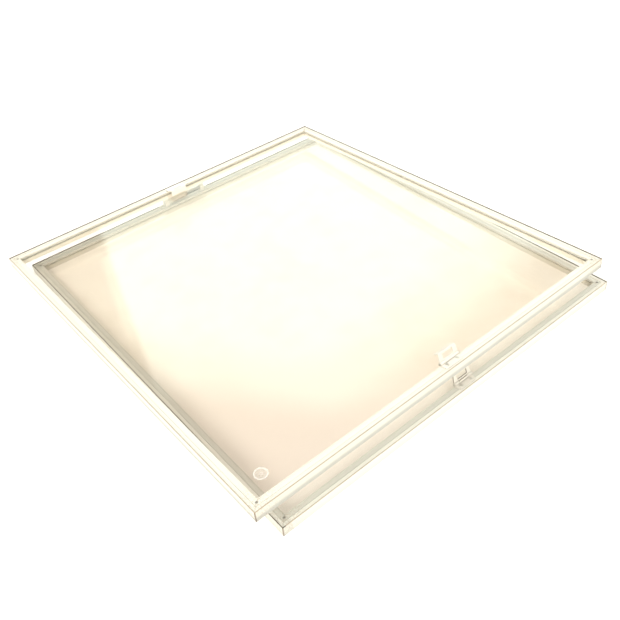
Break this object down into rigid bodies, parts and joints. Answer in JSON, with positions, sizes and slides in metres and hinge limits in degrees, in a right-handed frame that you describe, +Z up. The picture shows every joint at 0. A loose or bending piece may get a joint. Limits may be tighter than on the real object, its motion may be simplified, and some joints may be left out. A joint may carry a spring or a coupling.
{
  "type": "cold frame",
  "caption": "Pair of glazed aluminium cold-frame lights, one over the other, joined by a sliding hinge under the back bars, with folding finger pulls.",
  "frame": {"origin": "middle of the pair's footprint, on the ground under the lower light", "axes": "+X to the right along the hinge, +Y towards the hinged back bars, +Z up"},
  "size_m": [0.629, 0.6449, 0.0858],
  "materials": {
    "frame": "mill-finish extruded aluminium, lightly dulled outdoors",
    "bead": "mill-finish extruded aluminium, a little brighter than the bars",
    "glass_upper": "clear toughened glass with a small etched mark",
    "glass_lower": "clear toughened glass with a warm haze",
    "gasket": "matt brown-black glazing strip",
    "packer": "matt plastic packer",
    "key": "pressed corner key",
    "fixing": "zinc-plated fixing",
    "turned_steel": "bright drawn steel",
    "hinge": "bright zinc-plated steel",
    "pull": "zinc-plated pressed sheet with a warm cast"
  },
  "bodies": {
    "lower_light": {"lower_front_bar": "frame", "lower_front_bead": "bead", "lower_right_bar": "frame", "lower_right_bead": "bead", "lower_back_bar": "frame", "lower_back_bead": "bead", "lower_left_bar": "frame", "lower_left_bead": "bead", "lower_glass": "glass_lower", "lower_top_gasket": "gasket", "lower_bed_gasket": "gasket", "lower_glass_packers": "packer", "lower_corner_keys": "key", "lower_corner_screws": "fixing", "lower_pull_foot": "pull", "lower_pull_pin": "turned_steel", "lower_pull_rivets": "fixing", "hinge_block_left": "hinge", "hinge_block_right": "hinge", "hinge_block_screws": "fixing", "hinge_rod": "turned_steel"},
    "hinge_slider": {"hinge_sleeve": "turned_steel"},
    "upper_light": {"upper_front_bar": "frame", "upper_front_bead": "bead", "upper_right_bar": "frame", "upper_right_bead": "bead", "upper_back_bar": "frame", "upper_back_bead": "bead", "upper_left_bar": "frame", "upper_left_bead": "bead", "upper_glass": "glass_upper", "upper_top_gasket": "gasket", "upper_bed_gasket": "gasket", "upper_glass_packers": "packer", "upper_corner_keys": "key", "upper_corner_screws": "fixing", "upper_front_pull_foot": "pull", "upper_front_pull_pin": "turned_steel", "upper_front_pull_rivets": "fixing", "upper_back_pull_foot": "pull", "upper_back_pull_pin": "turned_steel", "upper_back_pull_rivets": "fixing", "hinge_leaf": "hinge", "hinge_leaf_screws": "fixing"},
    "lower_ring": {"lower_pull_ring": "pull"},
    "upper_front_ring": {"upper_front_pull_ring": "pull"},
    "upper_back_ring": {"upper_back_pull_ring": "pull"}
  },
  "joints": [
    {"name": "light_slide", "type": "slide", "parent": "lower_light", "child": "hinge_slider", "axis": [1, 0, 0], "range_m": [0, 0.029]},
    {"name": "light_hinge", "type": "hinge", "parent": "hinge_slider", "child": "upper_light", "pos_m": [-0.0145, 0.3165, 0.0225], "axis": [-1, 0, 0], "range_deg": [-2.7, 89.7]},
    {"name": "lower_ring_hinge", "type": "hinge", "parent": "lower_light", "child": "lower_ring", "pos_m": [0.0175, -0.3085, 0.0171], "axis": [1, 0, 0], "range_deg": [-52, 53]},
    {"name": "upper_front_ring_hinge", "type": "hinge", "parent": "upper_light", "child": "upper_front_ring", "pos_m": [-0.0115, -0.30699, 0.07266], "axis": [1, 0, 0], "range_deg": [-52, 53]},
    {"name": "upper_back_ring_hinge", "type": "hinge", "parent": "upper_light", "child": "upper_back_ring", "pos_m": [-0.0175, 0.30951, 0.0479], "axis": [-1, 0, 0], "range_deg": [0, 105]}
  ]
}
